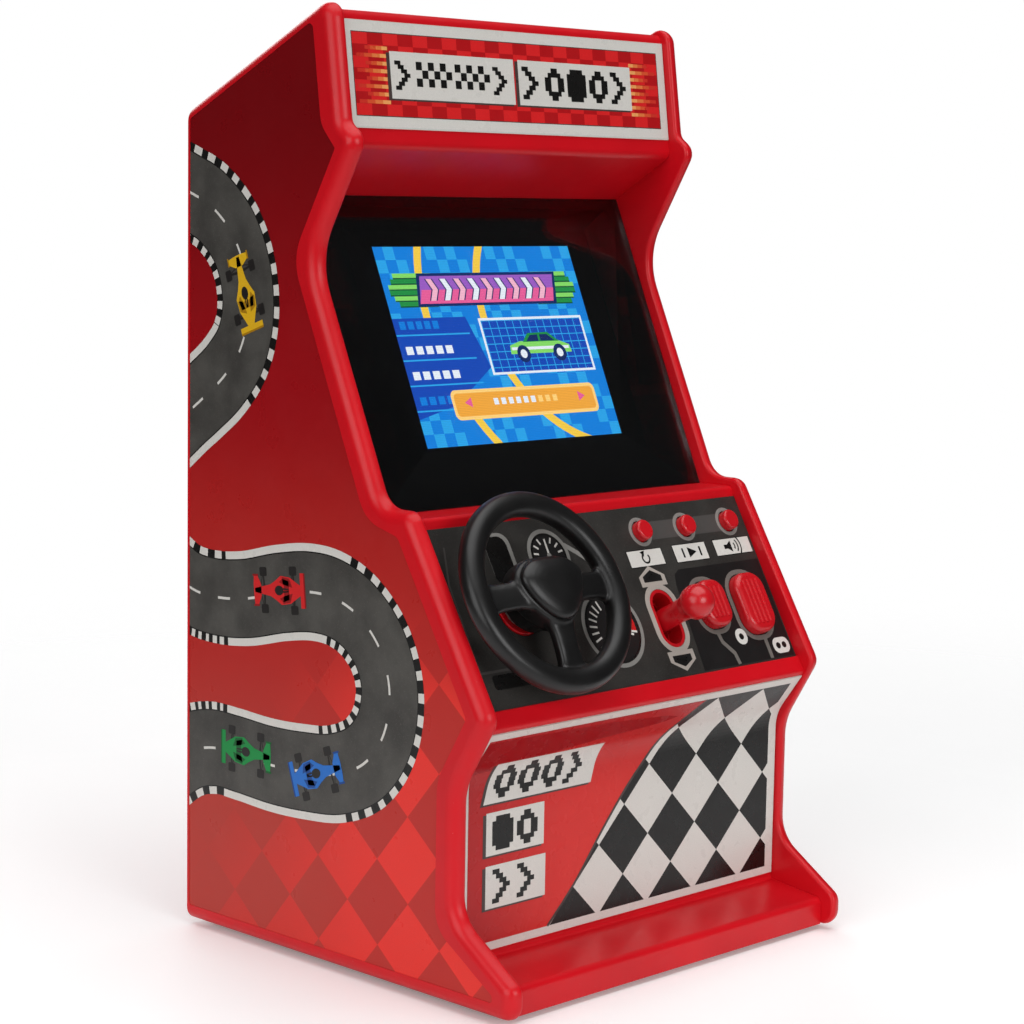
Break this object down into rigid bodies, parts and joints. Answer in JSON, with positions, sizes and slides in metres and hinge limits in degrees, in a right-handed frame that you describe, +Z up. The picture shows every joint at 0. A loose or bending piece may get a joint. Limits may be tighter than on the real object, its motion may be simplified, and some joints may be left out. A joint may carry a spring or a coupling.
{
  "type": "tabletop racing arcade game",
  "caption": "Small tabletop arcade cabinet with a sloped screen, a turning steering wheel, a tilting lever and push buttons on its deck.",
  "frame": {"origin": "centre of the footprint on the plane that the rubber feet stand on", "axes": "+X to the player's right, -Y towards the player, +Z up"},
  "size_m": [0.086, 0.082, 0.1624],
  "materials": {
    "red": "satin moulded ABS",
    "red_button": "gloss moulded ABS",
    "black": "satin black ABS",
    "side_art": "printed vinyl",
    "marquee_art": "printed vinyl",
    "lower_art": "printed vinyl",
    "deck_art": "printed polycarbonate sheet",
    "window": "clear acrylic",
    "mask": "black print",
    "lcd": "lit colour display",
    "tray": "pressed tray",
    "board": "solder mask",
    "epoxy": "epoxy",
    "steel": "zinc plated steel",
    "silicone": "silicone rubber",
    "rubber": "matt rubber",
    "ribbon": "flat cable",
    "cell_wrap": "shrink sleeve",
    "cone": "paper cone and magnet",
    "white": "acetal"
  },
  "bodies": {
    "cabinet": {"base_plate": "red", "base_screws": "steel", "battery_1": "cell_wrap", "battery_2": "cell_wrap", "battery_3": "cell_wrap", "battery_box": "black", "battery_plates": "steel", "battery_springs": "steel", "button_membrane": "silicone", "centring_spring": "steel", "control_board": "board", "control_board_screws": "steel", "deck_overlay": "deck_art", "front_fascia": "red", "lcd_backlight_tray": "tray", "lcd_glass": "lcd", "lever_cup": "red_button", "lever_pin": "steel", "lower_label": "lower_art", "main_board": "board", "main_board_screws": "steel", "marquee_label": "marquee_art", "power_switch_body": "black", "processor_blob": "epoxy", "rear_cover": "red", "rear_cover_screws": "steel", "ribbon_cable": "ribbon", "ribbon_socket": "white", "rubber_foot_1": "rubber", "rubber_foot_2": "rubber", "rubber_foot_3": "rubber", "rubber_foot_4": "rubber", "screen_window": "window", "shaft_bush": "white", "side_label_left": "side_art", "side_label_right": "side_art", "side_panel_left": "red", "side_panel_right": "red", "speaker": "cone", "steering_switch_left": "black", "steering_switch_right": "black", "window_mask": "mask"},
    "steering": {"steering_wheel": "black", "wheel_hub_cap": "black", "wheel_screw": "steel", "steering_shaft": "steel", "steering_cam": "white", "shaft_retaining_ring": "steel"},
    "lever": {"control_lever": "red_button"},
    "reset": {"reset_button": "red_button"},
    "start": {"start_button": "red_button"},
    "volume": {"volume_button": "red_button"},
    "button_a": {"a_button": "red_button"},
    "button_b": {"b_button": "red_button"},
    "door": {"battery_door": "red", "battery_door_screw": "steel"},
    "switch": {"power_switch_knob": "black"}
  },
  "joints": [
    {"name": "steering_turn", "type": "hinge", "parent": "cabinet", "child": "steering", "pos_m": [-0.0242, -0.02276, 0.06368], "axis": [0, -0.8709, 0.4915], "range_deg": [-45, 45], "stiffness_Nm_per_rad": 0.004},
    {"name": "lever_tilt", "type": "hinge", "parent": "cabinet", "child": "lever", "pos_m": [0.0102, -0.02124, 0.0564], "axis": [1, 0, 0], "range_deg": [-15, 15], "stiffness_Nm_per_rad": 0.004},
    {"name": "reset_press", "type": "slide", "parent": "cabinet", "child": "reset", "axis": [0, 0.8709, -0.4915], "range_m": [0, 0.0008], "stiffness_N_per_m": 300},
    {"name": "start_press", "type": "slide", "parent": "cabinet", "child": "start", "axis": [0, 0.8709, -0.4915], "range_m": [0, 0.0008], "stiffness_N_per_m": 300},
    {"name": "volume_press", "type": "slide", "parent": "cabinet", "child": "volume", "axis": [0, 0.8709, -0.4915], "range_m": [0, 0.0008], "stiffness_N_per_m": 300},
    {"name": "a_press", "type": "slide", "parent": "cabinet", "child": "button_a", "axis": [0, 0.8709, -0.4915], "range_m": [0, 0.001], "stiffness_N_per_m": 300},
    {"name": "b_press", "type": "slide", "parent": "cabinet", "child": "button_b", "axis": [0, 0.8709, -0.4915], "range_m": [0, 0.001], "stiffness_N_per_m": 300},
    {"name": "door_open", "type": "hinge", "parent": "cabinet", "child": "door", "pos_m": [0, 0.0396, 0.01005], "axis": [-1, 0, 0], "range_deg": [0, 75]},
    {"name": "power_slide", "type": "slide", "parent": "cabinet", "child": "switch", "axis": [1, 0, 0], "range_m": [0, 0.003]}
  ]
}
